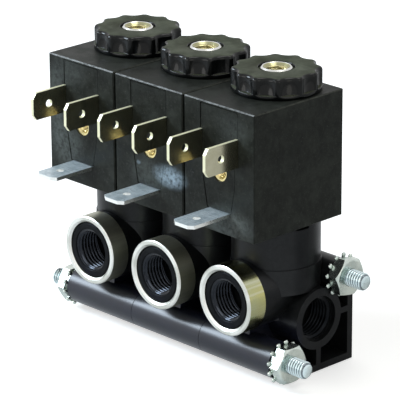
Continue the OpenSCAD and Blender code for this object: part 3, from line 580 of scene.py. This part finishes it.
smudge, given, result = effect_group("smudge", {"Place": "vector", "Centre": "vector",
                                                "Spread": "vector", "Strength": "value"},
                                     {"Mask": "value"})
away = add_node(smudge, "ShaderNodeVectorMath", {0: given["Place"], 1: given["Centre"]},
                operation="SUBTRACT").outputs[0]
scaled = add_node(smudge, "ShaderNodeVectorMath", {0: away, 1: given["Spread"]},
                  operation="DIVIDE").outputs[0]
reach = add_node(smudge, "ShaderNodeVectorMath", {0: scaled}, operation="LENGTH").outputs["Value"]
broken = ramp(smudge, noise(smudge, given["Place"], 1100.0, 6.0, 0.7), 0.22, 0.66)
strong = product(smudge, product(smudge, ramp(smudge, reach, 1.0, 0.25), broken), given["Strength"])
smudge.links.new(strong, result["Mask"])

for material_name, names in (("coil_plastic", each("coil_cover")), ("bobbin_nylon", each("bobbin"))):
    plastic, tree, shader, place = finish_of(material_name)
    facing = facing_of(tree)
    skin = placed(tree, moulded_skin, Place=place)
    edge = placed(tree, rubbed_edge, Place=place, Facing=facing)
    streak = noise(tree, stretched(tree, place, (800.0, 800.0, 420.0)), 1.0, 5.0, 0.72)
    streak = product(tree, ramp(tree, streak, 0.42, 0.72), 0.7)
    dust = ramp(tree, noise(tree, place, 1500.0, 4.0, 0.75), 0.56, 0.72)
    dusty = larger(tree, product(tree, skin["Speck"], 0.8), product(tree, dust, 0.6))
    parts = split(tree, facing)
    painted_shade_on_top = ramp(tree, parts["Z"], 0.90, 0.99)
    raised = ramp(tree, parts["Z"], 0.15, 0.40)
    fronting = product(tree, raised, ramp(tree, parts["Y"], -0.15, -0.40))
    cloudy = product(tree, larger(tree, skin["Cloud"], streak), 0.75)
    colour = blend_colour(tree, cloudy, COIL_DARK, COIL_CLOUD)
    colour = blend_colour(tree, dusty, colour, COIL_DUST_AND_EDGE_HIGHLIGHT)
    # Painted shade: the tops are darkened in their colour.
    colour = blend_colour(tree, product(tree, painted_shade_on_top, 0.45), colour, COIL_DARK)
    # Edges facing upward are lightened: partly wear, partly a painted highlight.
    colour = blend_colour(tree, product(tree, edge["Mask"], raised), colour, COIL_DUST_AND_EDGE_HIGHLIGHT)
    for centre, spread, strength, tint in MARKS:
        mark = placed(tree, smudge, Place=place, Centre=Vector(centre) * MM, Spread=Vector(spread) * MM,
                      Strength=strength)
        colour = blend_colour(tree, mark["Mask"], colour, tint)
    front_edge = product(tree, edge["Edge"], fronting)
    feed(tree, shader, Base_Color=colour, Roughness=blend_value(tree, skin["Cloud"], 0.40, 0.56),
         Specular_IOR_Level=0.10, Coat_Roughness=0.28,
         Coat_Weight=product(tree, blend_value(tree, edge["Mask"], 0.35, 0.95), front_edge))
    dents(tree, shader, larger(tree, skin["Grain"], streak), 0.014 * MM)
    dress(names, plastic)

# Blades: tinned brass, stamped, with bright sheared edges. Each power blade is pale gold on
# its faces, and the earth blades are bluer and finely scratched. Their scratches are lighter and
# bluer, partly real scratches and partly painted glints.
tin_scratch, given, result = effect_group("tin_scratch", {"Place": "vector"},
                                          {"Scratch": "value", "Cloud": "value"})
fine = noise(tin_scratch, stretched(tin_scratch, given["Place"], (300.0, 2600.0, 2600.0)), 1.0, 4.0, 0.7)
cloud = noise(tin_scratch, given["Place"], 500.0, 4.0, 0.6)
tin_scratch.links.new(ramp(tin_scratch, fine, 0.52, 0.72), result["Scratch"])
tin_scratch.links.new(ramp(tin_scratch, cloud, 0.35, 0.7), result["Cloud"])

power_tin, tree, shader, place = finish_of("power_tin")
rub = placed(tree, tin_scratch, Place=place)
flat = ramp(tree, faces_along(tree, facing_of(tree), "X"), 0.5, 0.9)
face_colour = blend_colour(tree, rub["Cloud"], (0.47, 0.45, 0.33, 1), (0.43, 0.41, 0.29, 1))
feed(tree, shader, Base_Color=blend_colour(tree, flat, (0.80, 0.78, 0.54, 1), face_colour),
     Metallic=blend_value(tree, flat, 0.35, 1.0),
     Roughness=blend_value(tree, flat, 0.40, blend_value(tree, rub["Scratch"], 0.21, 0.26)))
dents(tree, shader, rub["Scratch"], 0.0006 * MM)
dress(each("power_terminals"), power_tin)

earth_tin, tree, shader, place = finish_of("earth_tin")
rub = placed(tree, tin_scratch, Place=place)
flat = ramp(tree, faces_along(tree, facing_of(tree), "Z"), 0.5, 0.9)
dull = blend_colour(tree, rub["Cloud"], (0.58, 0.66, 0.70, 1), (0.36, 0.44, 0.48, 1))
# Scratches lightened and blued: partly real scratches, partly painted glints.
dull = blend_colour(tree, product(tree, rub["Scratch"], 0.5), dull, (0.74, 0.80, 0.88, 1))
feed(tree, shader, Base_Color=blend_colour(tree, flat, (0.86, 0.88, 0.86, 1), dull),
     Metallic=blend_value(tree, flat, 1.0, 0.34), Roughness=blend_value(tree, rub["Scratch"], 0.30, 0.22))
dents(tree, shader, rub["Scratch"], 0.0010 * MM)
dress(each("earth_terminal"), earth_tin)

# Screw inserts: turned brass with an M3 thread for a cable plug's screw, moulded into the
# carrier between the blades.
M3_PITCH = 0.5 * MM
M3_ROOT = 1.5 * MM
M3_DEPTH = 0.27 * MM
INSERT_AXIS_Z = 48.8 * MM
INSERT_MOUTH_Y = -16.7 * MM
INSERT_THREAD_LENGTH = 4.5 * MM
insert_brass = clouded_finish("insert_brass", (0.80, 0.67, 0.33, 1), (0.68, 0.57, 0.28, 1), 0.18, 0.32,
                              0.005 * MM, Metallic=1.0)
dress(each("screw_insert"), insert_brass)
for n in VALVES:
    thread_sleeve(f"insert_thread_{n}", (valve_x(n), INSERT_MOUTH_Y, INSERT_AXIS_Z), (0, 1, 0),
                  INSERT_THREAD_LENGTH, M3_ROOT, M3_DEPTH, M3_PITCH, "insert_brass", insert_brass)

# Knob nuts: black plastic mouldings screwed on the cores, with twelve glossy flutes above a
# round foot, and a matt, greyish-olive top that fingers have dulled.
KNOB_RADIUS = 9.95 * MM
KNOB_BOTTOM_Z = 63.8 * MM
KNOB_HEIGHT = 4.8 * MM
KNOB_ANGLES = (7, 21.6, 16.3)
FLUTES = 12
FLUTE_RADIUS = 3.8 * MM
FLUTE_CENTRE = 12.9 * MM
FLUTE_BLEND = 0.25 * MM
FOOT_HEIGHT = 1.0 * MM
RIM_ROUNDING = 0.8 * MM
CORNER_SOFTENING = 0.12 * MM
BORE_RADIUS = 3.55 * MM
RECESS_RADIUS = 4.0 * MM
RECESS_DEPTH = 0.6 * MM
SEAL_GROOVE_RADIUS = 5.85 * MM
SEAL_GROOVE_HEIGHT = 1.25 * MM


def fluted_radius(angle, share):
    """The knob's radius at an angle, where share is 0 on the round foot and 1 on the flutes."""
    step = 2 * math.pi / FLUTES
    off = (angle % step) - step / 2
    inside = FLUTE_RADIUS ** 2 - (FLUTE_CENTRE * math.sin(off)) ** 2
    if inside <= 0:
        return KNOB_RADIUS
    flute = FLUTE_CENTRE * math.cos(off) - math.sqrt(inside)
    near = max(FLUTE_BLEND - abs(flute - KNOB_RADIUS), 0) / FLUTE_BLEND
    cut = min(flute, KNOB_RADIUS) - near * near * FLUTE_BLEND / 4
    return KNOB_RADIUS + share * (cut - KNOB_RADIUS)


def knob_profile():
    """The outer rings as height, share of the flutes and inset, and the inner ones as radius and height."""
    outer = [(0.0, 0, CORNER_SOFTENING), (CORNER_SOFTENING, 0, 0.0)]
    for share, rise in ((0, -1), (0.1, -0.4), (0.5, 0), (0.9, 0.4), (1, 1)):
        outer.append((FOOT_HEIGHT + rise * CORNER_SOFTENING, share, 0.0))
    steps = 6
    for i in range(steps + 1):
        turn = math.pi / 2 * i / steps
        drop = RIM_ROUNDING * (1 - math.sin(turn))
        outer.append((KNOB_HEIGHT - drop, 1, RIM_ROUNDING * (1 - math.cos(turn))))
    recess_floor = KNOB_HEIGHT - RECESS_DEPTH
    inner = ((RECESS_RADIUS + CORNER_SOFTENING, KNOB_HEIGHT), (RECESS_RADIUS, KNOB_HEIGHT - CORNER_SOFTENING),
             (RECESS_RADIUS, recess_floor), (BORE_RADIUS, recess_floor), (BORE_RADIUS, SEAL_GROOVE_HEIGHT),
             (SEAL_GROOVE_RADIUS, SEAL_GROOVE_HEIGHT), (SEAL_GROOVE_RADIUS, 0.0))
    return outer, inner


def knob_mesh(turned_by):
    """Rings of points from the knob's underside, up over its flutes and rim, and down its bore."""
    around = 264
    outer, inner = knob_profile()
    vertices = []
    for i in range(len(outer) + len(inner)):
        for k in range(around):
            angle = 2 * math.pi * k / around
            if i < len(outer):
                z, share, inset = outer[i]
                r = fluted_radius(angle, share) - inset
            else:
                r, z = inner[i - len(outer)]
            heading = angle + math.radians(turned_by)
            vertices.append((r * math.cos(heading), r * math.sin(heading), z))
    count = len(outer) + len(inner)
    faces = []
    for i in range(count):
        ring, after = i * around, (i + 1) % count * around
        for k in range(around):
            beside = (k + 1) % around
            faces.append((ring + k, ring + beside, after + beside, after + k))
    return vertices, faces


knob_plastic, tree, shader, place = finish_of("knob_plastic")
skin = placed(tree, moulded_skin, Place=place)
upward = ramp(tree, split(tree, facing_of(tree))["Z"], 0.90, 0.995)
top_colour = blend_colour(tree, skin["Cloud"], (0.036, 0.041, 0.027, 1), (0.074, 0.081, 0.057, 1))
feed(tree, shader, Base_Color=blend_colour(tree, upward, (0.0025, 0.0032, 0.0032, 1), top_colour),
     Roughness=blend_value(tree, upward, 0.30, 0.60), Specular_IOR_Level=0.06,
     Coat_Weight=blend_value(tree, upward, 0.32, 0.0), Coat_Roughness=0.10)
dents(tree, shader, skin["Grain"], 0.008 * MM)
for n in VALVES:
    knob = mesh_piece(f"fluted_knob_nut_{n}", *knob_mesh(KNOB_ANGLES[n - 1]), f"knob_nut_{n}",
                      "knob_plastic", knob_plastic, Matrix.Translation((valve_x(n), 0, KNOB_BOTTOM_Z)))
    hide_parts(f"knob_nut_{n}")

# Tie rods, nuts and toothed washers: zinc-plated steel with a bluish chromate. The rods have
# rolled M4 threads at both ends, and the washers' rounded teeth bite into the end bodies. The
# roots of the rods' threads carry painted shade.
M4_PITCH = 0.7 * MM
M4_RADIUS = 2.0 * MM
M4_DEPTH = 0.40 * MM
ROD_HALF = cad_box[1][0]
ROD_CHAMFER = 0.5 * MM
THREADED = 11 * MM
RODS = ((-9.2 * MM, 5.6 * MM), (9.0 * MM, 21.2 * MM))
ROD_BRIGHT = ((0.71, 0.83, 0.86, 1), (0.57, 0.68, 0.70, 1))
ROD_ROOT_PAINTED_SHADE = (0.16, 0.19, 0.21, 1)

zinc = clouded_finish("zinc", (0.65, 0.71, 0.66, 1), (0.45, 0.51, 0.48, 1), 0.20, 0.32, 0.010 * MM,
                      Metallic=1.0)
dress(["lock_nuts", "tooth_washers"], zinc)


def threaded_rods():
    """Both rods in one mesh: rings of points along each rod, closer together on its threads."""
    around = 40
    fine_step = M4_PITCH / 10
    fine = [i * fine_step for i in range(round(THREADED / fine_step) + 1)]
    stations = [-ROD_HALF + s for s in fine] + [ROD_HALF - s for s in reversed(fine)]
    vertices = []
    faces = []
    for y, z in RODS:
        first = len(vertices)
        for x in stations:
            from_end = ROD_HALF - abs(x)
            full = max(0.0, min(1.0, (THREADED - from_end) / M4_PITCH))
            chamfer = max(0.0, ROD_CHAMFER - from_end)
            for k in range(around):
                cut = M4_DEPTH * groove_depth(x / M4_PITCH - k / around) * full
                r = M4_RADIUS - max(cut, chamfer)
                angle = 2 * math.pi * k / around
                vertices.append((x, y + r * math.cos(angle), z + r * math.sin(angle)))
        for i in range(len(stations) - 1):
            near, far = first + i * around, first + (i + 1) * around
            for k in range(around):
                after = (k + 1) % around
                faces.append((near + k, near + after, far + after, far + k))
        last = first + (len(stations) - 1) * around
        faces.append(tuple(first + k for k in reversed(range(around))))
        faces.append(tuple(last + k for k in range(around)))
    return vertices, faces


rod_zinc, tree, shader, place = finish_of("rod_zinc")
skin = placed(tree, moulded_skin, Place=place)
distances = []
for y, z in RODS:
    off = add_node(tree, "ShaderNodeVectorMath", {0: place, 1: (0, y, z)}, operation="SUBTRACT").outputs[0]
    radial = stretched(tree, off, (0.0, 1.0, 1.0))
    distances.append(add_node(tree, "ShaderNodeVectorMath", {0: radial}, operation="LENGTH").outputs["Value"])
from_axis = add_node(tree, "ShaderNodeMath", {0: distances[0], 1: distances[1]},
                     operation="MINIMUM").outputs[0]
on_crest = ramp(tree, from_axis, M4_RADIUS - 0.9 * M4_DEPTH, M4_RADIUS - 0.2 * M4_DEPTH)
on_end = ramp(tree, faces_along(tree, facing_of(tree), "X"), 0.85, 0.95)
bright = blend_colour(tree, skin["Cloud"], *ROD_BRIGHT)
# Painted shade: the thread roots are darker than the crests, apart from the rod ends.
feed(tree, shader, Base_Color=blend_colour(tree, larger(tree, on_crest, on_end), ROD_ROOT_PAINTED_SHADE, bright),
     Metallic=1.0, Roughness=blend_value(tree, skin["Cloud"], 0.20, 0.30))
dents(tree, shader, skin["Grain"], 0.006 * MM)
rods = mesh_piece("threaded_tie_rods", *threaded_rods(), "bank", "zinc_steel", rod_zinc)
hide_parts("tie_rods")
